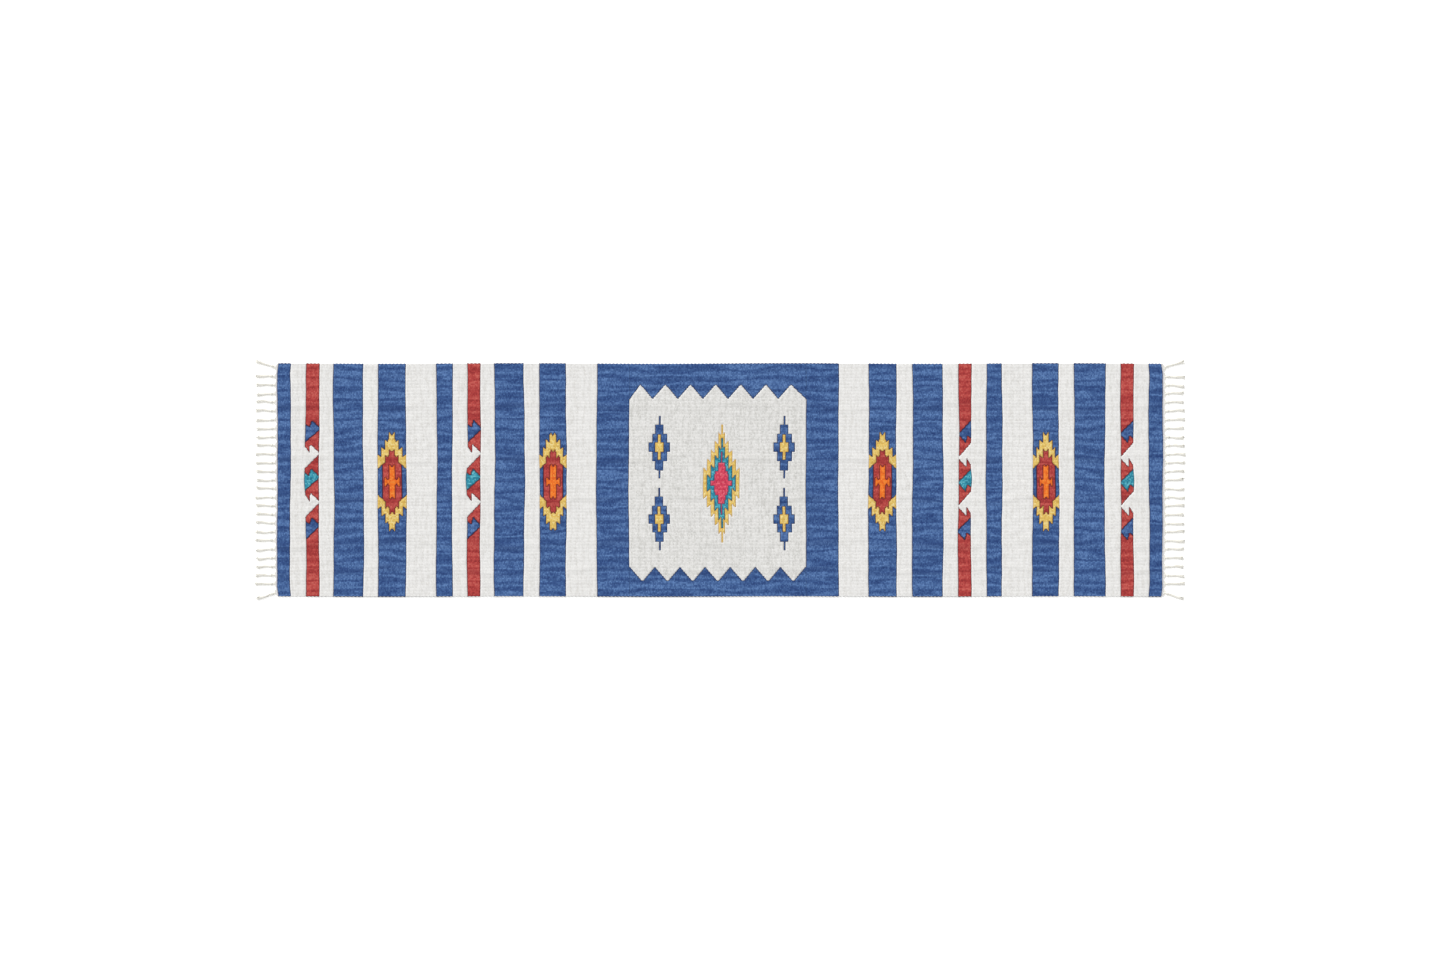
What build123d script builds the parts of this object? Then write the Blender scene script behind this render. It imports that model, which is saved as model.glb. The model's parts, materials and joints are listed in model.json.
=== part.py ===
"""Runner rug: a flat-woven cotton kilim, 600 mm wide and 2400 mm long over its knotted fringe.

Groups of warp yarns run the whole length. Each colour is a weft block of its own, beaten down
over those yarns, so a block is a slab with one flat channel for each group. Past the twined
heading at each end, every group is drawn together, knotted, and left as a tassel.

Millimetres. Origin at the middle of the underside, +X along the rug, +Y across it, +Z up.
The rug lies flat. It folds across two lines, one near each quarter, so the warps stop there too.
"""
from build123d import *
import math
import os

os.makedirs("parts", exist_ok=True)

# ---------------------------------------------------------------- driving dimensions
rug_width = 600.0
cloth_thickness = 4.0

# Weft blocks in order from the left end: colour and width along the rug.
left_bands = [
    ("blue", 35.0), ("white", 39.0), ("red", 35.0), ("white", 37.0),
    ("blue", 77.0), ("white", 37.0), ("blue", 73.0), ("white", 78.0),
    ("blue", 41.0), ("white", 38.0), ("red", 34.0), ("white", 36.0),
    ("blue", 77.0), ("white", 39.0), ("blue", 69.0), ("white", 78.0),
]
centre_length = 623.0
right_bands = [
    ("white", 77.0), ("blue", 72.0), ("white", 41.0), ("blue", 79.0),
    ("white", 39.0), ("red", 33.0), ("white", 39.0), ("blue", 41.0),
    ("white", 78.0), ("blue", 68.0), ("white", 39.0), ("blue", 80.0),
    ("white", 40.0), ("red", 33.0), ("white", 40.0), ("blue", 36.0),
]

# Fold lines, counted in bands from each end.
bands_in_fold = 11
fold_gap = 0.4

# Warps: one flat ribbon of yarns for each tassel.
tassels_per_end = 27
ribbon_width = 18.0
ribbon_height = 1.6
ribbon_clearance = 0.1

# Heading and fringe.
heading_width = 4.0
fringe_reach = 55.5          # heading to the tip of the longest tassel
fringe_spread = 4.0          # how much shorter the shortest tassel is
root_length = 7.0            # heading to knot, where a ribbon narrows
root_height = 3.4
knot_length = 7.0
knot_width = 8.4
knot_height = 6.0
tail_width = 8.0
tail_height = 4.6
tassel_lean = 3.0            # most sideways drift of a tip
corner_overhang = 8.0        # how far a corner tassel reaches past the long edge

# Centre field: a white ground with zigzag long edges, and five diamonds on it.
ground_end_border = 85.0
ground_back_border = 55.0
ground_front_border = 39.0
zigzag_height = 37.0
zigzag_teeth = 7
back_teeth_shift = -6.5      # of the back edge's teeth, along X from the front edge's
diamond_centre = (5.0, -8.5)
corner_diamond_offset = (160.5, 92.5)
corner_diamond_levels = [(2.5, 81.0), (10.5, 59.0), (19.0, 35.0), (27.0, 12.0)]
corner_heart_levels = [(2.8, 33.0), (10.5, 11.5)]
diamond_column = 9.2         # width of each rising column of the centre diamond
diamond_bite = 9.0           # depth of the notch behind each point
diamond_yellow = (5, 40.0, 23.3, 152.0)       # columns, outer point, rise to the next, topmost point
diamond_turquoise = (4, 22.5, 25.0, 116.0)
diamond_spike = 2.5          # half width of the line at the very top and bottom
crimson_levels = [(1.2, 81.0), (7.5, 52.5), (9.5, 44.0), (15.5, 31.0), (18.0, 23.0), (27.0, 7.0)]

# Medallions: bands counted from 1 at the left end, and the middle of each across the rug.
medallion_bands = {"left": [7], "middle": [15, 19], "right": [27]}
medallion_middle = -5.0
medallion_girdle = 41.0      # half height of the red middle's straight sides
flame_rise = 19.0            # from one point of a flame to the next
flame_depth = 26.5           # from a point to the notch outside it

# Darts and hooks of the red bands, all for the left half: the right half has them turned round.
red_bands = {"left": [3, 11], "right": [23, 31]}
dart_middle = -4.0
dart_pitch = 125.0
hook_offset = 72.0           # from the middle dart to the hook behind it

# ---------------------------------------------------------------- places worked out from them
half_width = rug_width / 2
band_plan = left_bands + [("field", centre_length)] + right_bands
woven_length = sum(width for _, width in band_plan)
band_edges = [-woven_length / 2]
for _, band_width in band_plan:
    band_edges.append(band_edges[-1] + band_width)
field_band = len(left_bands) + 1
woven_end = woven_length / 2
heading_face = woven_end + heading_width
left_fold_x = band_edges[bands_in_fold]
right_fold_x = band_edges[-1 - bands_in_fold]

ribbon_pitch = rug_width / tassels_per_end
ribbon_rows = [(i + 0.5) * ribbon_pitch - half_width for i in range(tassels_per_end)]
middle_height = cloth_thickness / 2
channel_width = ribbon_width + 2 * ribbon_clearance
channel_height = ribbon_height + 2 * ribbon_clearance
channels = [
    Pos(0, y, middle_height) * Box(2 * heading_face + 2, channel_width, channel_height)
    for y in ribbon_rows
]


def band_span(number):
    """Low and high X of a weft block, which stops short of a fold line beside it."""
    low, high = band_edges[number - 1], band_edges[number]
    if high == left_fold_x:
        high -= fold_gap
    if low == right_fold_x:
        low += fold_gap
    return low, high


def band_middle(number):
    return (band_edges[number - 1] + band_edges[number]) / 2


# ---------------------------------------------------------------- outlines
def outline(points, x=0.0, y=0.0, turn=1):
    """A flat face from points about (x, y), given half a turn if turn is -1."""
    return make_face(Polyline([(x + turn * px, y + turn * py) for px, py in points], close=True))


def strip(low, high):
    return outline([(low, -half_width), (high, -half_width), (high, half_width), (low, half_width)])


def four_way(quarter):
    """Points of an outline that mirrors both ways, from those of its upper right quarter."""
    right = quarter + [(x, -y) for x, y in reversed(quarter)]
    return right + [(-x, y) for x, y in reversed(right)]


def stepped(levels):
    """A stepped diamond from the half width and half height of each of its levels, top first."""
    quarter = []
    for (half, height), (_, lower_height) in zip(levels, levels[1:]):
        quarter += [(half, height), (half, lower_height)]
    return four_way(quarter + [levels[-1]])


def pointed(columns, outer_point, rise, top):
    """A diamond of rising columns, each with a point at its outer corner and a notch behind it."""
    inner_point = outer_point + rise * (columns - 1)
    quarter = [(diamond_spike, top), (diamond_spike, inner_point - diamond_bite)]
    for column in range(1, columns + 1):
        point = outer_point + rise * (columns - column)
        quarter.append((column * diamond_column, point))
        if column < columns:
            notch = point - rise - diamond_bite
            quarter.append((column * diamond_column, notch))
    return four_way(quarter)


def dart(width):
    """A bird's-head dart: straight back on the left, beak on the right and two peaks on top."""
    return [
        (0, 23), (0.31 * width, 15), (0.46 * width, 33),
        (width, 14), (width, 8), (0, -24),
    ]


def hook(width):
    """The white barb that crosses a red band, open on the left and ending at the right."""
    return [(width, 2), (0.38 * width, 23), (0.32 * width, 1), (0, 18), (0, -38), (width, -2)]


def flame_foot(width, share):
    """A point on the slanting foot of the flames, from the band's edge (0) to the red (1)."""
    x = (1 - share) * width / 2 + share * 0.245 * width
    return (x, medallion_girdle - 7.5 + share * 17)


def flame_inside(width):
    """Right half of the edge between a medallion's flames and its red middle, from the foot."""
    column = width / 8
    return [
        flame_foot(width, 1), (1.92 * column, medallion_girdle + 29),
        (column, medallion_girdle + 21), (0.75 * column, medallion_girdle + 43),
        (0, medallion_girdle + 37),
    ]


def flames(width):
    """The yellow flames over a medallion: four points on each side that rise to the middle."""
    column = width / 8
    top = medallion_girdle + 4.55 * flame_rise
    half = [(0, top - 9), (0.76 * column, top), (0.84 * column, top - 6)]
    for step in range(3):
        point = top - step * flame_rise
        half.append((column * (step + 0.98), point - flame_depth))
        if step < 2:
            half.append((column * (step + 1.95), point - flame_rise))
    half += [(width / 2, top - 3 * flame_rise), flame_foot(width, 0)]
    half += flame_inside(width)
    return half + [(-x, y) for x, y in reversed(half) if x > 0]


def medallion_body(width):
    """The red middle of a medallion, straight at the sides and pointed in steps at both ends."""
    upper = list(reversed(flame_inside(width)))
    upper.append(flame_foot(width, 0.6))
    right = upper + [(x, -y) for x, y in reversed(upper)]
    return right + [(-x, y) for x, y in reversed(right) if x > 0]


def medallion_core(width):
    """The orange bar in a medallion: forked at both ends, with a forked arm at each side."""
    column = width / 8
    return four_way([
        (0.05 * column, 38), (0.55 * column, 45), (0.85 * column, 41), (0.85 * column, 8),
        (1.25 * column, 4.5), (1.8 * column, 12.5), (2.1 * column, 10), (2.1 * column, 4),
    ])


# ---------------------------------------------------------------- pieces
def weft(face, *cut_outs):
    """A weft block: the cloth over one outline, less the blocks let into it and the channels."""
    for other in cut_outs:
        face = face - other
    return extrude(face, cloth_thickness, dir=(0, 0, 1)) - channels


def save(name, *pieces):
    solids = [solid for piece in pieces for solid in piece.solids()]
    export_step(Compound(solids), f"parts/{name}.step")


def medallion_faces(number):
    """The flames, red middle and orange core of the medallion in one band."""
    width = band_edges[number] - band_edges[number - 1]
    middle = band_middle(number)
    upper = outline(flames(width), middle, medallion_middle)
    lower = outline(flames(width), middle, medallion_middle, -1)
    body = outline(medallion_body(width), middle, medallion_middle)
    core = outline(medallion_core(width), middle, medallion_middle)
    return upper, lower, body, core


def red_band_faces(number, side):
    """The darts and hooks of one red band, from the front of the rug to the back."""
    low, high = band_span(number)
    width = high - low
    turn, edge = (1, low) if side == "left" else (-1, high)
    darts = [
        outline(dart(width), edge, turn * (dart_middle + step * dart_pitch), turn)
        for step in (-1, 0, 1)
    ]
    hooks = [
        outline(hook(width), edge, turn * (dart_middle + hook_offset + step * dart_pitch), turn)
        for step in (-1, 0)
    ]
    return darts, hooks


def make_medallions(side):
    yellow, red, orange = [], [], []
    for number in medallion_bands[side]:
        upper, lower, body, core = medallion_faces(number)
        save(f"band_{number:02d}_blue", weft(strip(*band_span(number)), upper, lower, body))
        yellow += [weft(upper), weft(lower)]
        red.append(weft(body, core))
        orange.append(weft(core))
    plural = "s" if len(orange) > 1 else ""
    save(f"{side}_medallion{plural}_yellow_flames", *yellow)
    save(f"{side}_medallion{plural}_red_body", *red)
    save(f"{side}_medallion{plural}_orange_core", *orange)


def make_red_bands(side):
    """Both red bands of one half, their darts, and the white bands whose barbs cross them."""
    blue, turquoise = [], []
    for number in red_bands[side]:
        darts, hooks = red_band_faces(number, side)
        white_number = number - 1 if side == "left" else number + 1
        white = strip(*band_span(white_number))
        for barb in hooks:
            white = white + barb
        save(f"band_{white_number:02d}_white", weft(white))
        save(f"band_{number:02d}_red", weft(strip(*band_span(number)), *darts, *hooks))
        blue += [weft(darts[0]), weft(darts[2])]
        turquoise.append(weft(darts[1]))
    save(f"{side}_blue_darts", *blue)
    save(f"{side}_turquoise_darts", *turquoise)


def make_plain_bands():
    """Every band that holds no medallion, dart or barb."""
    shaped = [number for numbers in medallion_bands.values() for number in numbers]
    shaped += red_bands["left"] + [number - 1 for number in red_bands["left"]]
    shaped += red_bands["right"] + [number + 1 for number in red_bands["right"]]
    for number, (colour, _) in enumerate(band_plan, start=1):
        if colour != "field" and number not in shaped:
            save(f"band_{number:02d}_{colour}", weft(strip(*band_span(number))))


def zigzag(low, high, valley, peak, shift=0.0):
    """Points along one long edge of the ground, from low to high X, with a valley at each end."""
    tooth = (high - low) / zigzag_teeth
    points = [(low, valley)]
    for i in range(zigzag_teeth):
        start = low + i * tooth + shift
        points += [(start + 0.5 * tooth, peak), (start + tooth, valley)]
    return points[:-1] + [(high, valley)]


def make_centre_field():
    field_low, field_high = band_span(field_band)
    low, high = field_low + ground_end_border, field_high - ground_end_border
    back_peak = half_width - ground_back_border
    front_peak = ground_front_border - half_width
    back = zigzag(low, high, back_peak - zigzag_height, back_peak, back_teeth_shift)
    front = zigzag(low, high, front_peak + zigzag_height, front_peak)
    back_edge = [(high, half_width), (low, half_width)]
    front_edge = [(high, -half_width), (low, -half_width)]

    corners, hearts = [], []
    for along in (-1, 1):
        for across in (-1, 1):
            x = diamond_centre[0] + along * corner_diamond_offset[0]
            y = diamond_centre[1] + across * corner_diamond_offset[1]
            corners.append(outline(stepped(corner_diamond_levels), x, y))
            hearts.append(outline(stepped(corner_heart_levels), x, y))
    yellow = outline(pointed(*diamond_yellow), *diamond_centre)
    turquoise = outline(pointed(*diamond_turquoise), *diamond_centre)
    crimson = outline(stepped(crimson_levels), *diamond_centre)

    save("field_left_column", weft(strip(field_low, low)))
    save("field_right_column", weft(strip(high, field_high)))
    save("field_back_zigzag", weft(outline(back + back_edge)))
    save("field_front_zigzag", weft(outline(front + front_edge)))
    save("field_white_ground", weft(outline(back + list(reversed(front))), *corners, yellow))
    save("corner_diamonds_blue", *[weft(face, heart) for face, heart in zip(corners, hearts)])
    save("corner_diamonds_yellow_hearts", *[weft(heart) for heart in hearts])
    save("centre_diamond_yellow", weft(yellow, turquoise))
    save("centre_diamond_turquoise", weft(turquoise, crimson))
    save("centre_diamond_crimson", weft(crimson))


def tassel_lean_at(index):
    """How far a tassel's tip lies to the side: the corner ones reach past the long edge."""
    if index in (0, tassels_per_end - 1):
        reach = half_width + corner_overhang - tail_width / 2
        return math.copysign(reach - abs(ribbon_rows[index]), ribbon_rows[index])
    return tassel_lean * math.sin(2.4 * index)


def make_tassel(index, side):
    """One tassel outside the heading: the narrowing root, the knot and the leaning tail."""
    y = ribbon_rows[index]
    tip = fringe_reach - fringe_spread * math.sin(1.3 * index) ** 2
    lean = tassel_lean_at(index)
    knot_end = root_length + knot_length
    half_root, half_tail = ribbon_width / 2, tail_width / 2
    root = [(0, half_root), (root_length, half_tail), (root_length, -half_tail), (0, -half_root)]
    tail = [
        (knot_end, half_tail), (tip, lean + half_tail),
        (tip, lean - half_tail), (knot_end, -half_tail),
    ]
    root_face = outline([(side * (heading_face + px), y + py) for px, py in root])
    tail_face = outline([(side * (heading_face + px), y + py) for px, py in tail])
    knot_x = side * (heading_face + root_length + knot_length / 2)
    knot = Pos(knot_x, y, knot_height / 2) * Box(knot_length, knot_width, knot_height)
    root_solid = Pos(0, 0, middle_height - root_height / 2) * extrude(
        root_face, root_height, dir=(0, 0, 1)
    )
    return root_solid + knot + extrude(tail_face, tail_height, dir=(0, 0, 1))


def make_ribbon(y, low, high):
    return Pos((low + high) / 2, y, middle_height) * Box(high - low, ribbon_width, ribbon_height)


def make_warps():
    """The ribbons between the fold lines, and each end's with the tassels that they run out to."""
    middle = [make_ribbon(y, left_fold_x, right_fold_x) for y in ribbon_rows]
    save("middle_warps", *middle)
    left, right = [], []
    for index, y in enumerate(ribbon_rows):
        left_ribbon = make_ribbon(y, -heading_face, left_fold_x - fold_gap)
        left.append(left_ribbon + make_tassel(index, -1))
        right_ribbon = make_ribbon(y, right_fold_x + fold_gap, heading_face)
        right.append(right_ribbon + make_tassel(index, 1))
    save("left_warps_and_tassels", *left)
    save("right_warps_and_tassels", *right)


for side in medallion_bands:
    make_medallions(side)
for side in red_bands:
    make_red_bands(side)
make_plain_bands()
make_centre_field()
save("left_heading", weft(strip(-heading_face, -woven_end)))
save("right_heading", weft(strip(woven_end, heading_face)))
make_warps()
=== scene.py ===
import json
import math
import random

import bpy
import numpy as np
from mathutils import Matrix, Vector
from mathutils.bvhtree import BVHTree


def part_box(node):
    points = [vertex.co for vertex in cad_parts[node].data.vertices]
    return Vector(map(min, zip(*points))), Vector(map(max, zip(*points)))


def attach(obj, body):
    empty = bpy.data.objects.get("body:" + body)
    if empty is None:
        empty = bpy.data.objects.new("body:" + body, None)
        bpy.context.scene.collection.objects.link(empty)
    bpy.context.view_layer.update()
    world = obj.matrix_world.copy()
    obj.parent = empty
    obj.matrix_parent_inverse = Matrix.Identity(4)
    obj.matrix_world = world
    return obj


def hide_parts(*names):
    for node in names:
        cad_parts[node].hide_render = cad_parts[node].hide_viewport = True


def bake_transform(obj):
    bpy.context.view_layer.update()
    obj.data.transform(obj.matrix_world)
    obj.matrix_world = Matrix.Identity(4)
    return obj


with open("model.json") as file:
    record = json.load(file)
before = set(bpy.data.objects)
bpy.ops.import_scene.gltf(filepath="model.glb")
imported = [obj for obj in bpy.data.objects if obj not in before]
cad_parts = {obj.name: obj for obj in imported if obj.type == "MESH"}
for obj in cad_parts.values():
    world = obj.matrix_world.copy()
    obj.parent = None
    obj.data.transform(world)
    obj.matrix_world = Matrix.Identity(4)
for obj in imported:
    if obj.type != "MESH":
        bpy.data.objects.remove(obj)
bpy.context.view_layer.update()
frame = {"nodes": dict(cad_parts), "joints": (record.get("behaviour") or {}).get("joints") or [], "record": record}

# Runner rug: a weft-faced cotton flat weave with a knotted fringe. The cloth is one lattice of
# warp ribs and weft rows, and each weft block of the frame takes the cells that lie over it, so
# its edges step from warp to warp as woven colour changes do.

MM = 0.001

# ---------------------------------------------------------------- sizes taken from the frame
heading_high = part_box("left_heading")[1]
half_width = heading_high.y
cloth_height = heading_high.z
hinges = {joint["name"]: joint for joint in frame["joints"]}
left_fold_x = hinges["left_fold"]["pos_m"][0]
right_fold_x = hinges["right_fold"]["pos_m"][0]

# ---------------------------------------------------------------- sizes of the cloth
tassels_per_end = 27
warps_per_tassel = 6
warp_count = tassels_per_end * warps_per_tassel
warp_pitch = 2 * half_width / warp_count
bead_length = 3.0 * MM           # along the rug; two passes, about twice as long as real ones
column_pitch = 2.4 * MM
rib_relief = 0.45 * MM
edge_relief = 0.30 * MM          # how far a block's edge sinks below its ribs
half_thickness = 1.5 * MM        # of the cloth, in the groove between two ribs
floor_gap = 0.05 * MM            # left under the lowest cloth
ripple_pitch = 28 * MM           # lengthwise ripples, where groups of warps differ in tension
tooth_depth = 0.5 * MM           # how far two colours reach into each other at a band's edge
dart_bulge = 3.5 * MM            # how far a slack turquoise dart pushes out the edge of its band
bulging_edges = {2: -1, 10: -1, 23: 1, 31: 1}      # band edges with such a dart, and the way out
corner_pull = 3 * MM             # how far the four corners are drawn in
corner_rows = (270 * MM, 300 * MM)         # from the rug's middle: no pull yet, and the full pull
corner_columns = (1050 * MM, 1140 * MM)
end_pull = 1.2 * MM              # how far the twined heading draws in the end rows
selvedge_turn = 0.5 * MM         # how far the weft stands out where it turns round the outer warp
fold_run = 18 * MM               # cloth that turns over in a fold


def weft_blocks():
    """Names of the CAD nodes that are woven cloth."""
    return [name for name in frame["nodes"] if "warps" not in name and "heading" not in name]


# ---------------------------------------------------------------- the lattice
def band_edges():
    """Where each cross band of the frame starts, and where the last one ends, along X."""
    names = sorted(name for name in frame["nodes"] if name.startswith("band_"))
    spans = {int(name.split("_")[1]): [c.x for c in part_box(name)] for name in names}
    # The centre field takes the number between the bands on its two sides.
    spans[17] = [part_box("field_left_column")[0].x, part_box("field_right_column")[1].x]
    edges = [spans[1][0]]
    for number in range(2, len(spans) + 1):
        low, (previous_low, previous_high) = spans[number][0], spans[number - 1]
        # A band whose barbs cross its neighbour starts where that neighbour ends.
        edges.append(low if low > previous_low + 5 * MM else previous_high)
    return edges + [spans[len(spans)][1]]


def column_places():
    """Nominal X of every lattice column, and the columns at which a band starts."""
    places, starts = [], []
    for low, high in zip(edges, edges[1:]):
        starts.append(len(places))
        count = round((high - low) / column_pitch)
        places += [low + (high - low) * i / count for i in range(count)]
    starts.append(len(places))
    places.append(edges[-1])
    return np.array(places), starts


edges = band_edges()
columns, band_starts = column_places()
rows = np.linspace(-half_width, half_width, 2 * warp_count + 1)
column_grid, row_grid = np.meshgrid(columns, rows, indexing="ij")


def smooth(x, low, high):
    t = np.clip((x - low) / (high - low), 0, 1)
    return t * t * (3 - 2 * t)


def edge_drift():
    """How far each lattice point has moved along X, because no weft lies quite straight."""
    drift = np.zeros_like(column_grid)
    waves = np.random.default_rng(11)
    curves = []
    for edge in range(len(edges)):
        phases = waves.uniform(0, 2 * math.pi, 3)
        sizes = waves.uniform(0.4, 1.0, 3) * (1.7, 0.7, 0.3)
        curve = MM * sum(
            size * np.sin(rows / (length * MM) + phase)
            for size, length, phase in zip(sizes, (95, 30, 9), phases)
        )
        curve += dart_bulge * bulging_edges.get(edge, 0) * np.exp(-(rows / (28 * MM)) ** 2)
        curves.append(curve)
    for band, (start, stop) in enumerate(zip(band_starts, band_starts[1:])):
        share = np.linspace(0, 1, stop - start + 1)[:, None]
        drift[start:stop + 1] = (1 - share) * curves[band] + share * curves[band + 1]
    corner = smooth(np.abs(row_grid), *corner_rows) * smooth(np.abs(column_grid), *corner_columns)
    drift -= corner_pull * corner * np.sign(column_grid)
    drift[0] += end_pull
    drift[-1] -= end_pull
    # At a band's edge the last pass goes over a warp and under the groove beside it.
    for start in band_starts:
        drift[start, 1::2] += tooth_depth
        drift[start, ::2] -= tooth_depth
    return drift


def slack_lines():
    """Depth, from 0 to 1, of the lengthwise lines where a few warps are slacker than the rest."""
    depth = np.zeros_like(column_grid)
    # Each line's place across the rug and its width, in millimetres, and its phase.
    for y, width, shift in ((190, 9, 0.3), (54, 8, 2.1), (-46, 8, 3.3), (-163, 10, 4.6), (-232, 7, 5.2)):
        path = y * MM + 7 * MM * np.sin(column_grid / (85 * MM) + shift)
        path += 4 * MM * np.sin(column_grid / (31 * MM) + 2 * shift)
        strength = 0.62 + 0.38 * np.sin(column_grid / (45 * MM) + 3 * shift)
        depth = np.maximum(depth, strength * np.exp(-((row_grid - path) / (width * MM)) ** 2))
    return depth


def floor_lift():
    """How far the cloth stands off the floor: shallow swells, ripples and the slack lines."""
    swell = 0.5 + 0.3 * np.sin(column_grid / (130 * MM) + 1.3 * np.sin(row_grid / (90 * MM)))
    wander = 2.2 * np.sin(column_grid / (47 * MM))
    wander += 1.4 * np.sin(column_grid / (21 * MM) + row_grid / (60 * MM))
    ripple = 0.16 * np.sin(2 * math.pi * row_grid / ripple_pitch + wander)
    return (np.clip(swell + ripple, 0, None) + 0.8 * slack) * MM


slack = slack_lines()
lift = floor_lift()
place_x = column_grid + edge_drift()
selvedge = np.where(np.abs(row_grid) > half_width - 1e-6, np.sign(row_grid), 0)
turns = selvedge_turn * np.where(np.arange(len(columns)) % 4 < 2, 1, -1)[:, None]
sway = 0.8 * MM * np.sin(column_grid / (110 * MM))
place_y = row_grid + selvedge * turns + np.abs(selvedge) * sway


def block_under_cells():
    """For each lattice cell, the number of the weft block whose CAD solid lies under its middle."""
    names = weft_blocks()
    points, faces, owner = [], [], []
    for number, name in enumerate(names):
        mesh = frame["nodes"][name].data
        base = len(points)
        points += [v.co.copy() for v in mesh.vertices]
        mesh.calc_loop_triangles()
        faces += [tuple(base + v for v in face.vertices) for face in mesh.loop_triangles]
        owner += [number] * len(mesh.loop_triangles)
    tree = BVHTree.FromPolygons(points, faces, all_triangles=True)
    down, above = Vector((0, 0, -1)), 2 * cloth_height
    middles_x = (columns[1:] + columns[:-1]) / 2
    middles_y = (rows[1:] + rows[:-1]) / 2
    found = np.zeros((len(middles_x), len(middles_y)), int)
    for i, x in enumerate(middles_x):
        for j, y in enumerate(middles_y):
            found[i, j] = owner[tree.ray_cast(Vector((x, y, above)), down)[2]]
    return names, found


# ---------------------------------------------------------------- meshes
def new_piece(name, points, faces, attributes=None, flat_faces=0):
    """An object from arrays of points and of four-sided faces, smooth but for the last ones."""
    mesh = bpy.data.meshes.new(name)
    mesh.vertices.add(len(points))
    mesh.vertices.foreach_set("co", np.asarray(points, np.float32).ravel())
    mesh.loops.add(4 * len(faces))
    mesh.loops.foreach_set("vertex_index", np.asarray(faces, np.int32).ravel())
    mesh.polygons.add(len(faces))
    mesh.polygons.foreach_set("loop_start", np.arange(len(faces), dtype=np.int32) * 4)
    mesh.polygons.foreach_set("use_smooth", np.arange(len(faces)) < len(faces) - flat_faces)
    mesh.update(calc_edges=True)
    for key, values in (attributes or {}).items():
        kind = "FLOAT_VECTOR" if values.ndim == 2 else "FLOAT"
        attribute = mesh.attributes.new(key, kind, "POINT")
        field = "vector" if values.ndim == 2 else "value"
        attribute.data.foreach_set(field, values.astype(np.float32).ravel())
    piece = bpy.data.objects.new(name, mesh)
    bpy.context.scene.collection.objects.link(piece)
    return piece


def corner_marks(cells):
    """Lattice points that are a corner of any marked cell."""
    marks = np.zeros((cells.shape[0] + 1, cells.shape[1] + 1), bool)
    for i, j in ((0, 0), (1, 0), (0, 1), (1, 1)):
        marks[i:i + cells.shape[0], j:j + cells.shape[1]] |= cells
    return marks


def weft_piece(name, cells, same_yarn):
    """The closed block of cloth over the marked cells. Its edge sinks, and takes the finish's edge line
    of painted shade, only where the next cells are of another yarn, so two blocks of one colour
    meet without a line."""
    used = corner_marks(cells)
    other_yarn = np.pad(~same_yarn, 1, constant_values=True)
    outside = np.pad(~cells, 1, constant_values=True)
    at_edge = (corner_marks(other_yarn)[1:-1, 1:-1] & used).astype(float)
    ribs = rib_relief * (np.arange(len(rows)) % 2)
    half = half_thickness + ribs * (1 - 0.5 * at_edge) - edge_relief * at_edge
    number = np.full(used.shape, -1)
    count = int(used.sum())
    number[used] = np.arange(count)
    middle = lift + cloth_height / 2
    flat = np.stack([place_x[used], place_y[used]], 1)
    top = np.column_stack([flat, (middle + half)[used]])
    bottom = np.column_stack([flat, np.maximum(middle - half, floor_gap)[used]])

    i, j = np.nonzero(cells)
    ring = [number[i, j], number[i + 1, j], number[i + 1, j + 1], number[i, j + 1]]
    faces = [np.stack(ring, 1), np.stack(ring[::-1], 1) + count]
    for (di, dj), (a, b) in {
        (-1, 0): ((0, 0), (0, 1)), (1, 0): ((1, 1), (1, 0)),
        (0, -1): ((1, 0), (0, 0)), (0, 1): ((0, 1), (1, 1)),
    }.items():
        bare = cells & outside[1 + di:outside.shape[0] - 1 + di, 1 + dj:outside.shape[1] - 1 + dj]
        i, j = np.nonzero(bare)
        start, stop = number[i + a[0], j + a[1]], number[i + b[0], j + b[1]]
        faces.append(np.stack([start, stop, stop + count, start + count], 1))

    woven = np.column_stack([column_grid[used], row_grid[used], np.zeros(count)])
    attributes = {
        "woven_place": np.concatenate([woven, woven + (0, 0, 1)]),
        "block_edge": np.tile(at_edge[used], 2),
        "slack": np.tile(slack[used], 2),
    }
    walls = sum(len(part) for part in faces[2:])
    faces = np.concatenate(faces)
    return new_piece(name, np.concatenate([top, bottom]), faces, attributes, flat_faces=walls)


def yarn(path, radii, sides=6):
    """A closed tube along a path, for one yarn: points, faces, and each point's place on it."""
    path = np.asarray(path, float)
    ahead = np.gradient(path, axis=0)
    ahead /= np.linalg.norm(ahead, axis=1)[:, None]
    side = np.cross(ahead, (0.0, 0.0, 1.0)) + (1e-9, 0, 0)
    side /= np.linalg.norm(side, axis=1)[:, None]
    up = np.cross(side, ahead)
    angles = np.linspace(0, 2 * math.pi, sides, endpoint=False)
    ring = np.cos(angles)[:, None] * side[:, None] + np.sin(angles)[:, None] * up[:, None]
    radii = np.broadcast_to(radii, len(path))
    points = (path[:, None] + ring * radii[:, None, None]).reshape(-1, 3)
    k, n = np.arange(sides), np.arange(len(path) - 1)[:, None] * sides
    after = (k + 1) % sides
    faces = [np.stack([n + k, n + sides + k, n + sides + after, n + after], -1).reshape(-1, 4)]
    for first, order in ((0, 1), (len(points) - sides, -1)):
        for corner in range(1, sides - 1, 2):
            faces.append(np.array([[0, corner, corner + 1, corner + 2]])[:, ::order] + first)
    steps = np.linalg.norm(np.diff(path, axis=0), axis=1)
    along = np.repeat(np.concatenate([[0], np.cumsum(steps)]), sides)
    turn = np.tile(angles / (2 * math.pi), len(path))
    return points, np.concatenate(faces), np.column_stack([along, turn, 0 * turn])


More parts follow.
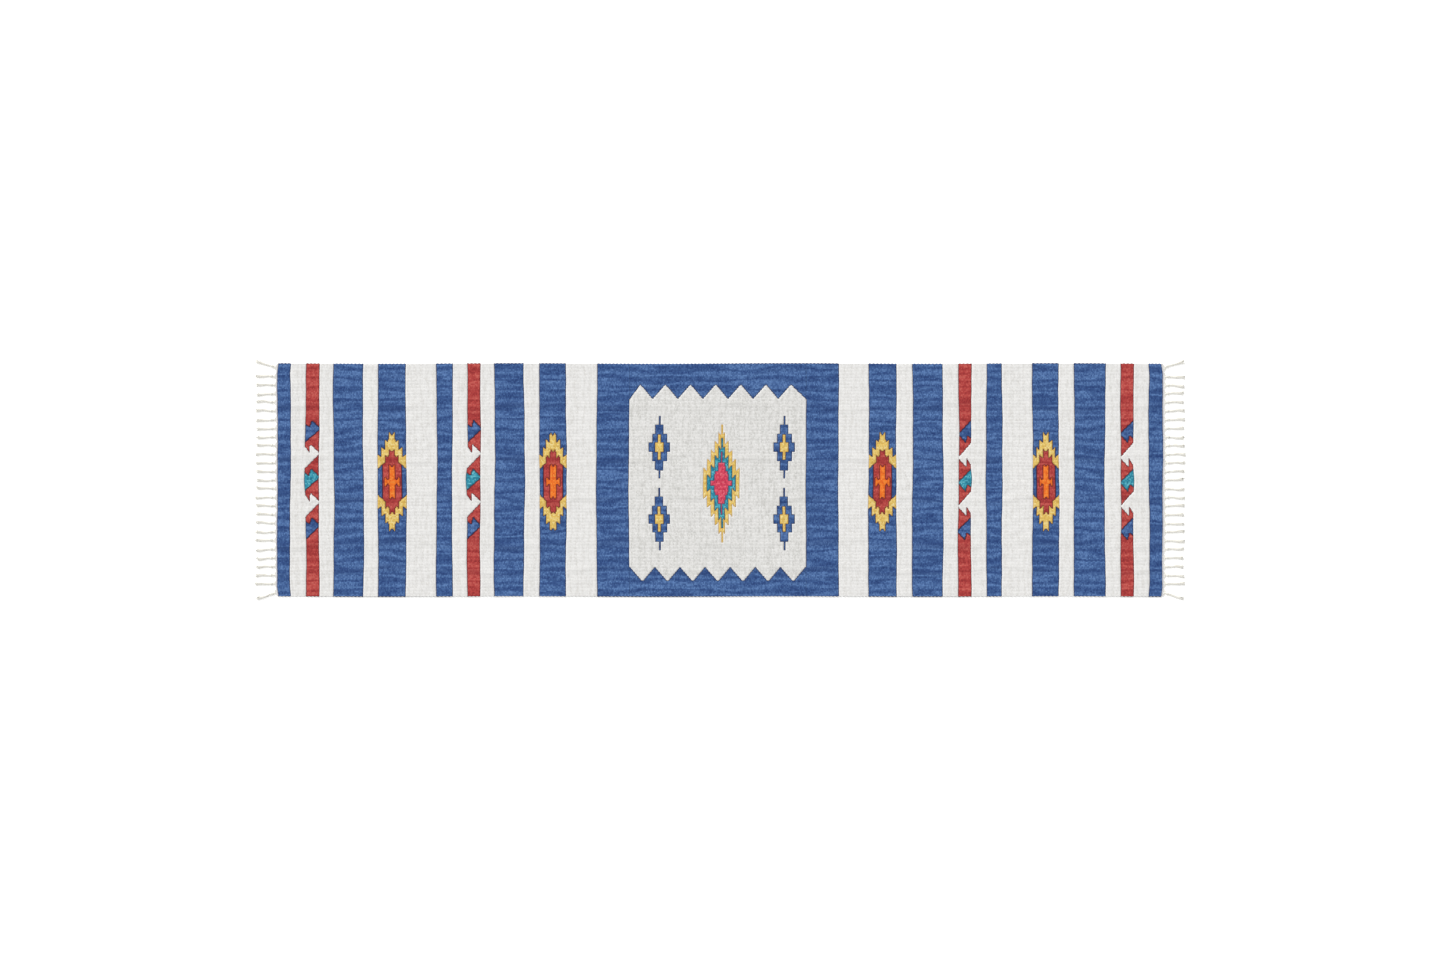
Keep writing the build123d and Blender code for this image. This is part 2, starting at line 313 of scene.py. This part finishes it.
def yarn_piece(name, tubes):
    """One piece from many tubes; each yarn keeps a number of its own, for its shade."""
    points, faces, places, base = [], [], [], 0
    for number, (tube_points, tube_faces, tube_places) in enumerate(tubes):
        points.append(tube_points)
        faces.append(tube_faces + base)
        places.append(tube_places + (0, 0, number))
        base += len(tube_points)
    attributes = {"yarn_place": np.concatenate(places)}
    return new_piece(name, np.concatenate(points), np.concatenate(faces), attributes)


def warp_in_cloth(warp, low, high):
    """Points of one warp yarn inside its rib, between two values of X; closer where it folds."""
    row = 2 * warp + 1
    inside = np.nonzero((columns >= low - 1e-6) & (columns <= high + 1e-6))[0]
    from_fold = np.maximum(left_fold_x - columns[inside], columns[inside] - right_fold_x)
    folding = inside[(from_fold > 0) & (from_fold < fold_run + bead_length)]
    picked = np.unique(np.concatenate([inside[::8], folding, inside[-1:]]))
    heights = lift[picked, row] + cloth_height / 2
    return np.column_stack([place_x[picked, row], place_y[picked, row], heights])


# ---------------------------------------------------------------- fringe
yarn_radius = 1.3 * MM
woven_warp_radius = 0.7 * MM
cord_radius = 1.0 * MM           # of a heading cord
cord_orbit = 0.95 * MM           # from a heading cord's middle to the line that the two wind round
heading_offset = 2 * MM          # from the last weft row to that line
fibre_radius = 0.28 * MM
fibres_per_tip = 9
root_end = 11 * MM               # from the last weft row to the knot
knot_length = 6.5 * MM
knot_turns = 2.4
knot_yarn_radius = 1.2 * MM
knot_half_width = 3.0 * MM       # to the middle of the yarn that is wound round it
knot_half_height = 1.75 * MM
knot_middle = 3.0 * MM           # above the floor
twist_pitch = 30 * MM            # one turn of a tassel's yarns round each other
bundle_height = 2.6 * MM
shortest_tail = 54 * MM          # from the last weft row to a tip
tail_spread = 4.5 * MM           # how far the tassels' lengths differ
corner_reach = 15 * MM           # how far a corner tassel leans out


def tassel_middle(index, side, away):
    """Sideways place of a tassel's middle, at a distance from the last weft row."""
    chance = random.Random(100 * index + side)
    share = np.clip((away - 4 * MM) / (shortest_tail - 4 * MM), 0, 1.1)
    row = ((index + 0.5) / tassels_per_end * 2 - 1) * half_width
    lean = chance.uniform(-3.2, 3.2) * MM
    if index in (0, tassels_per_end - 1):
        lean = math.copysign(corner_reach, row)
    wave = chance.uniform(0.5, 1.3) * MM * np.sin(away / (chance.uniform(6, 9) * MM) + index)
    return row + lean * share ** 0.8 + wave * smooth(share, 0.1, 0.5)


def tassel_yarn(index, number, side, chance):
    """One of a tassel's yarns, from the last weft row through the knot to its tip."""
    warp = index * warps_per_tassel + number
    end_column = 0 if side < 0 else -1
    start_x = place_x[end_column, 2 * warp + 1]
    slot = rows[2 * warp + 1]
    tip = shortest_tail + tail_spread * (0.5 + 0.5 * math.sin(1.3 * index)) - chance.uniform(0, 3) * MM
    away = np.concatenate([[1.5, 4.0, 6.5], np.linspace(9.0, tip / MM, 24)]) * MM
    gathered = smooth(away, 3 * MM, root_end)
    angle = 2 * math.pi * (number / warps_per_tassel + (away - root_end) / twist_pitch)
    loosened = smooth(away, root_end + knot_length, tip)
    radius = (1.5 + 1.1 * loosened + 0.8 * smooth(away, tip - 8 * MM, tip)) * MM
    middle = tassel_middle(index, side, away)
    across = (1 - gathered) * slot + gathered * (middle + 1.2 * radius * np.cos(angle))
    woven_height = lift[end_column, 2 * warp + 1] + cloth_height / 2
    up = (1 - gathered) * woven_height + gathered * (bundle_height + 0.55 * radius * np.sin(angle))
    thickness = woven_warp_radius + (yarn_radius - woven_warp_radius) * smooth(away, 2 * MM, 8 * MM)
    thickness = thickness * (1 - 0.55 * smooth(away, tip - 3 * MM, tip))
    up = np.maximum(up, thickness)
    return np.column_stack([start_x + side * away, across, up]), thickness


def tassel_knot(index, side):
    """The overhand knot: the bundle's own yarn, wound round it between the root and the tail."""
    turn = np.linspace(0, 1, 30)
    angle = 2 * math.pi * knot_turns * turn + index
    away = root_end + knot_length * (0.12 + 0.76 * turn) + 0.5 * MM * np.sin(angle)
    across = tassel_middle(index, side, root_end + 0.5 * knot_length) + knot_half_width * np.cos(angle)
    up = knot_middle + knot_half_height * np.sin(angle)
    start_x = place_x[0 if side < 0 else -1, 2 * warps_per_tassel * index + warps_per_tassel]
    return yarn(np.column_stack([start_x + side * away, across, up]), knot_yarn_radius)


def frayed_fibres(index, side, chance):
    """Loose fibres at a tassel's tip."""
    tubes = []
    end_x = place_x[0 if side < 0 else -1, 2 * warps_per_tassel * index + warps_per_tassel]
    for _ in range(fibres_per_tip):
        start = shortest_tail - chance.uniform(2, 6) * MM
        away = start + np.linspace(0, chance.uniform(4, 8) * MM, 4)
        spread = chance.uniform(-3.2, 3.2) * MM
        across = tassel_middle(index, side, away) + spread * np.linspace(0.7, 1.25, 4)
        up = np.linspace(chance.uniform(1.0, 4.0), chance.uniform(0.4, 3.0), 4) * MM
        tubes.append(yarn(np.column_stack([end_x + side * away, across, up]), fibre_radius, 4))
    return tubes


def fringe_tubes(side):
    """Every warp yarn of one end, from the fold line to its tip, with the knots and loose fibres."""
    low, high = (columns[0], left_fold_x) if side < 0 else (right_fold_x, columns[-1])
    tubes = []
    for index in range(tassels_per_end):
        chance = random.Random(7 * index + side)
        for number in range(warps_per_tassel):
            inside = warp_in_cloth(index * warps_per_tassel + number, low, high)
            if side < 0:
                inside = inside[::-1]
            tail, thickness = tassel_yarn(index, number, side, chance)
            radii = np.concatenate([np.full(len(inside), woven_warp_radius), thickness])
            tubes.append(yarn(np.concatenate([inside, tail]), radii))
        tubes.append(tassel_knot(index, side))
        tubes += frayed_fibres(index, side, chance)
    return tubes


def heading_tubes(side):
    """Two cords twined round each other and the warps, just outside the last weft row."""
    column = 0 if side < 0 else -1
    along = np.linspace(-half_width + 1 * MM, half_width - 1 * MM, 5 * warp_count)
    edge = np.interp(along, rows, place_x[column]) + side * heading_offset
    height = np.interp(along, rows, lift[column]) + cloth_height / 2
    tubes = []
    for start in (0, math.pi):
        angle = math.pi * along / warp_pitch + start
        path = np.column_stack([
            edge + cord_orbit * np.cos(angle), along, height + cord_orbit * np.sin(angle),
        ])
        tubes.append(yarn(path, cord_radius))
    return tubes


# ---------------------------------------------------------------- finishes
def colour(code):
    """A linear RGBA colour from an sRGB hex code."""
    channels = [int(code[i:i + 2], 16) / 255 for i in (1, 3, 5)]
    return [c / 12.92 if c <= 0.04045 else ((c + 0.055) / 1.055) ** 2.4 for c in channels] + [1]


def add(tree, kind, inputs=None, **settings):
    """Adds a shader node; inputs maps a socket to a value or to the output that feeds it."""
    made = tree.nodes.new("ShaderNode" + kind)
    for key, value in settings.items():
        setattr(made, key, value)
    for key, value in (inputs or {}).items():
        if isinstance(value, bpy.types.NodeSocket):
            tree.links.new(value, made.inputs[key])
        else:
            made.inputs[key].default_value = value
    return made


def new_finish(name):
    """An empty node material, and its output node."""
    finish = bpy.data.materials.new(name)
    finish.use_nodes = True
    tree = finish.node_tree
    tree.nodes.clear()
    return finish, tree, tree.nodes.new("ShaderNodeOutputMaterial")


def three_shades(tree, factor, shades, low=0.3, high=0.7):
    """A ramp from the darkest to the lightest shade of one dyed yarn."""
    ramp = add(tree, "ValToRGB", {"Fac": factor})
    for position, code in zip((low, 0.5, high), shades):
        element = ramp.color_ramp.elements.new(position)
        element.color = colour(code)
    ramp.color_ramp.elements.remove(ramp.color_ramp.elements[0])
    ramp.color_ramp.elements.remove(ramp.color_ramp.elements[-1])
    return ramp.outputs["Color"]


def per_mm(tree, place, x, y, z=1.0):
    """The woven place in pattern units, of x millimetres along the rug and y across it."""
    scale = (1 / (x * MM), 1 / (y * MM), z)
    return add(tree, "VectorMath", {0: place, 1: scale}, operation="MULTIPLY").outputs[0]


def bead_pattern(tree, place):
    """The beads that the weft makes over each warp: their height, and a number for each bead."""
    parts = add(tree, "SeparateXYZ", {0: per_mm(tree, place, bead_length / MM, warp_pitch / MM)})
    x, y, layer = parts.outputs
    rib = add(tree, "Math", {0: y}, operation="FLOOR").outputs[0]
    # Beads on the next rib lie half a bead further along, as plain weave puts them.
    shifted = add(tree, "Math", {0: rib, 1: 0.5, 2: x}, operation="MULTIPLY_ADD").outputs[0]
    bead = add(tree, "Math", {0: shifted}, operation="FLOOR").outputs[0]
    rounds = []
    for run in (shifted, y):
        from_groove = add(tree, "Math", {0: run, 1: 0.5}, operation="PINGPONG").outputs[0]
        doubled = add(tree, "Math", {0: from_groove, 1: 2.0}, operation="MULTIPLY").outputs[0]
        rounds.append(add(tree, "Math", {0: doubled, 1: 0.5}, operation="POWER").outputs[0])
    bulge = add(tree, "MapRange", {"Value": rounds[0], 3: 0.25, 4: 1.0}).outputs[0]
    height = add(tree, "Math", {0: bulge, 1: rounds[1]}, operation="MULTIPLY").outputs[0]
    number = add(tree, "CombineXYZ", {0: bead, 1: rib, 2: layer}).outputs[0]
    return height, number


# Weft: carded cotton yarn, dyed in the hank, so each bead over a warp takes a shade of its own.
# Matt, with the soft bloom of loose fibre. Where groups of warps hold the weft more or less
# tightly, long streaks run along the rug; whites show the passes of the weft across it instead.
def cotton_weft(name, shades, edge_shade, slack_shade, streaks=0.3, slack_share=0.5, painted_groove_shade=0.45,
                streak_size=(150, 26), streak_run="Y"):
    finish, tree, output = new_finish(name)
    place = add(tree, "Attribute", attribute_name="woven_place").outputs["Vector"]
    edge = add(tree, "Attribute", attribute_name="block_edge").outputs["Fac"]
    slack_depth = add(tree, "Attribute", attribute_name="slack").outputs["Fac"]
    height, number = bead_pattern(tree, place)
    speck = add(tree, "TexWhiteNoise", {"Vector": number})
    cloud = add(tree, "TexNoise", {"Vector": per_mm(tree, place, 9, 14), "Scale": 1.0, "Detail": 4.0})
    grain = add(tree, "Mix", {0: 0.45, 2: speck.outputs["Value"], 3: cloud.outputs["Fac"]})
    streak = add(
        tree, "TexWave",
        {
            "Vector": per_mm(tree, place, *streak_size), "Scale": math.pi / 10, "Distortion": 7.0,
            "Detail": 1.5, "Detail Scale": 4.0,
        },
        bands_direction=streak_run,
    )
    shade = add(tree, "Mix", {0: streaks, 2: grain.outputs[0], 3: streak.outputs["Fac"]})
    tone = three_shades(tree, shade.outputs[0], shades, 0.15, 0.85)

    weight = add(tree, "Math", {0: slack_depth, 1: slack_share}, operation="MULTIPLY")
    # Painted shade: the outermost cells of each block, at a change of yarn and along the rug's edges, take
    # edge_shade, darker on the dyed wefts for the shadow in the slit; on the whites edge_shade is a paler rim.
    line = add(tree, "Math", {0: edge, 1: 1.5}, operation="MULTIPLY", use_clamp=True)
    # Painted shade: the grooves between beads darken towards a dark copy of the darkest shade, by
    # painted_groove_shade, for the shadow in the hollows of the weave.
    depth = add(tree, "MapRange", {"Value": height, 2: 0.75, 3: painted_groove_shade, 4: 0.0})
    painted_groove_colour = [0.3 * channel for channel in colour(shades[0])[:3]] + [1]
    for share, over in (
        (weight, colour(slack_shade)), (line, colour(edge_shade)), (depth, painted_groove_colour),
    ):
        tone = add(tree, "Mix", {0: share.outputs[0], 6: tone, 7: over}, data_type="RGBA").outputs[2]

    # Strands within a bead, 0.9 mm apart along the rug and slanting with the twist.
    strands = add(
        tree, "TexWave",
        {"Vector": per_mm(tree, place, 0.9, 5.0), "Scale": math.pi / 5, "Distortion": 1.0},
        bands_direction="DIAGONAL",
    )
    rough = add(tree, "Math", {0: strands.outputs["Fac"], 1: 0.16, 2: height}, operation="MULTIPLY_ADD")
    bump = add(tree, "Bump", {"Height": rough.outputs[0], "Distance": 0.9 * MM, "Strength": 0.8})
    shader = add(tree, "BsdfPrincipled", {
        "Base Color": tone, "Roughness": 0.92, "IOR": 1.4,
        "Sheen Weight": 0.06, "Sheen Roughness": 0.5, "Normal": bump.outputs[0],
    })
    tree.links.new(shader.outputs[0], output.inputs[0])
    return finish


# Warp and twine: undyed bleached cotton, two plies twisted hard, so its grooves read as slanting
# lines, with bump and painted shade in them, and the yarn itself as warm white.
def cotton_yarn(name, shades, painted_groove_shade):
    finish, tree, output = new_finish(name)
    place = add(tree, "Attribute", attribute_name="yarn_place").outputs["Vector"]
    parts = add(tree, "SeparateXYZ", {0: place})
    # One turn of the ply for each 5 mm of yarn.
    turned = add(tree, "Math", {0: parts.outputs[0], 1: 1 / (5 * MM)}, operation="MULTIPLY")
    phase = add(tree, "Math", {0: turned.outputs[0], 1: parts.outputs[1]})
    doubled = add(tree, "Math", {0: phase.outputs[0], 1: 2 * 2 * math.pi}, operation="MULTIPLY")
    ply = add(tree, "Math", {0: doubled.outputs[0]}, operation="SINE")
    height = add(tree, "Math", {0: ply.outputs[0], 1: 0.5, 2: 0.5}, operation="MULTIPLY_ADD")
    spun = add(tree, "VectorMath", {0: place, 1: (1 / (6 * MM), 4.0, 0.37)}, operation="MULTIPLY")
    lumps = add(tree, "TexNoise", {"Vector": spun.outputs[0], "Scale": 1.0, "Detail": 3.0})
    body = three_shades(tree, lumps.outputs["Fac"], shades)
    # Painted shade: the grooves between the plies take the grey of painted_groove_shade, for the shadow in the
    # twist.
    depth = add(tree, "MapRange", {"Value": height.outputs[0], 1: 0.0, 2: 0.35, 3: 0.55, 4: 0.0})
    tone = add(tree, "Mix", {0: depth.outputs[0], 6: body, 7: colour(painted_groove_shade)}, data_type="RGBA")
    bump = add(tree, "Bump", {"Height": height.outputs[0], "Distance": 0.35 * MM, "Strength": 0.7})
    shader = add(tree, "BsdfPrincipled", {
        "Base Color": tone.outputs[2], "Roughness": 0.88, "IOR": 1.45,
        "Sheen Weight": 0.2, "Sheen Roughness": 0.5, "Normal": bump.outputs[0],
    })
    tree.links.new(shader.outputs[0], output.inputs[0])
    return finish


# Each weft finish takes its three shades, its edge line's colour (painted shade in the slits on the dyed wefts)
# and its colour along the slack lines.
finishes = {
    "blue_weft": cotton_weft(
        "indigo_cotton_weft", ("#1F3F7A", "#40639C", "#678DC6"), "#1C2B56", "#203E76",
    ),
    "white_weft": cotton_weft(
        "bleached_cotton_weft", ("#DFDDD9", "#ECEBE9", "#F4F3F1"), "#F3F2F1", "#E2E1DE",
        streaks=0.24, slack_share=0.3, painted_groove_shade=0.12, streak_size=(16, 90), streak_run="X",
    ),
    "red_weft": cotton_weft(
        "madder_red_cotton_weft", ("#97292B", "#BE4340", "#DA6A60"), "#6A2025", "#92272C",
    ),
    "yellow_weft": cotton_weft(
        "straw_yellow_cotton_weft", ("#D6A850", "#EDCB6A", "#F8E6A6"), "#D9AE58", "#D8AE58",
        streaks=0.1, slack_share=0.2, painted_groove_shade=0.3,
    ),
    "orange_weft": cotton_weft(
        "orange_cotton_weft", ("#E45C1A", "#FB7E22", "#FFA044"), "#D2561F", "#E0641A",
        streaks=0.1, slack_share=0.1, painted_groove_shade=0.35,
    ),
    "turquoise_weft": cotton_weft(
        "turquoise_cotton_weft", ("#14627F", "#329EB8", "#7CD0DC"), "#1B6178", "#22809A",
        streaks=0.1, slack_share=0.2,
    ),
    "crimson_weft": cotton_weft(
        "crimson_cotton_weft", ("#C02C4C", "#E44864", "#F67F8C"), "#B64C72", "#CC3050",
        streaks=0.1, slack_share=0.2,
    ),
    "warp_yarn": cotton_yarn("plied_warp_cotton", ("#E9E6DC", "#F4F2EA", "#FBFAF5"), "#C4C0B6"),
    "heading_twine": cotton_yarn("twined_heading_cotton", ("#D9D8DA", "#E4E3E8", "#EFEEF2"), "#A9A5A6"),
}


# The white ground is beaten down less than the bands, so its warps' grooves lie deeper: its finish is a
# little darker overall and paints more shade into the grooves, both standing in for the shadow in those
# deeper grooves, which shows as grey grain.
ground_finish = cotton_weft(
    "loosely_beaten_cotton_weft", ("#CFCECA", "#E6E5E2", "#F2F1EF"), "#EDECEA", "#DAD9D5",
    streaks=0.2, slack_share=0.3, painted_groove_shade=0.2, streak_size=(16, 90), streak_run="X",
)


# ---------------------------------------------------------------- the rug
def dress(piece, slot, finish=None):
    """Gives a piece its slot's finish, unless it has its own."""
    piece.data.materials.append(finish or finishes[slot])
    return piece


def settle(piece):
    """Fixes a piece to its body; a piece that crosses a fold line goes on no body, its place baked into its
    points.
    """
    x = np.array([corner[0] for corner in piece.bound_box])
    left_turned = (left_fold_x - fold_run, 0, 0)
    right_turned = (right_fold_x + fold_run, 0, 0)
    if x.min() < left_fold_x and x.max() > left_turned[0]:
        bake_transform(piece)
    elif x.max() > right_fold_x and x.min() < right_turned[0]:
        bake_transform(piece)
    elif x.max() < left_fold_x:
        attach(piece, "left_end")
    elif x.min() > right_fold_x:
        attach(piece, "right_end")
    else:
        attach(piece, "middle")


slots = {part["node"]: part["material_slot"] for part in frame["record"]["subparts"]}
names, found = block_under_cells()
woven = {}
for number, name in enumerate(names):
    same_yarn = np.isin(found, [k for k, other in enumerate(names) if slots[other] == slots[name]])
    own_finish = ground_finish if name == "field_white_ground" else None
    cloth = weft_piece(name + "_cloth", found == number, same_yarn)
    woven[name] = dress(cloth, slots[name], own_finish)
    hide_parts(name)

extras = {name: [] for name in names}
for side, low_band, end in ((-1, "band_01_blue", "left"), (1, "band_33_blue", "right")):
    heading = dress(yarn_piece(end + "_heading_twine", heading_tubes(side)), "heading_twine")
    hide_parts(end + "_heading")
    fringe = dress(yarn_piece(end + "_warps_and_fringe", fringe_tubes(side)), "warp_yarn")
    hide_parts(end + "_warps_and_tassels")
    extras[low_band] = [heading, fringe]
inner = [
    yarn(warp_in_cloth(warp, left_fold_x, right_fold_x), woven_warp_radius, 4)
    for warp in range(warp_count)
]
middle_warps = dress(yarn_piece("middle_warp_yarns", inner), "warp_yarn")
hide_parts("middle_warps")
extras["field_white_ground"] = [middle_warps]

for number, name in enumerate(names):
    for piece in [woven[name]] + extras[name]:
        settle(piece)


# ---------------------------------------------------------------- floor, light and camera
def make_floor():
    """A plain pale floor under the rug."""
    size = 12.0
    mesh = bpy.data.meshes.new("floor")
    corners = [(-size, -size, 0), (size, -size, 0), (size, size, 0), (-size, size, 0)]
    mesh.from_pydata(corners, [], [(0, 1, 2, 3)])
    floor = bpy.data.objects.new("floor", mesh)
    bpy.context.scene.collection.objects.link(floor)
    finish, tree, output = new_finish("pale_floor")
    shader = add(tree, "BsdfPrincipled", {
        "Base Color": colour("#F4F4F3"), "Roughness": 0.95, "Specular IOR Level": 0.1,
        "Emission Color": colour("#FFFFFF"), "Emission Strength": 0.4,
    })
    tree.links.new(shader.outputs[0], output.inputs[0])
    mesh.materials.append(finish)


def make_light():
    """An even bright room, and one broad soft light from behind the back edge on the left."""
    world = bpy.data.worlds.new("room")
    world.use_nodes = True
    background = world.node_tree.nodes["Background"]
    background.inputs["Color"].default_value = colour("#FFFFFF")
    background.inputs["Strength"].default_value = 0.5
    bpy.context.scene.world = world
    lamp = bpy.data.lights.new("soft_lamp", "SUN")
    lamp.energy = 3.0
    lamp.angle = math.radians(20)
    holder = bpy.data.objects.new("soft_lamp", lamp)
    holder.location = (-2.2, 3.0, 2.8)
    holder.rotation_euler = (-holder.location).to_track_quat("-Z", "Y").to_euler()
    bpy.context.scene.collection.objects.link(holder)


def make_camera():
    """Straight down on the rug's middle, with its length across the picture."""
    picture_width, lens, sensor = 3.708, 100.0, 36.0
    camera = bpy.data.cameras.new("camera")
    camera.lens, camera.sensor_width = lens, sensor
    holder = bpy.data.objects.new("camera", camera)
    holder.location = (0, 0, picture_width * lens / sensor)
    bpy.context.scene.collection.objects.link(holder)
    bpy.context.scene.camera = holder


make_floor()
make_light()
make_camera()
bpy.context.scene.view_settings.view_transform = "Standard"
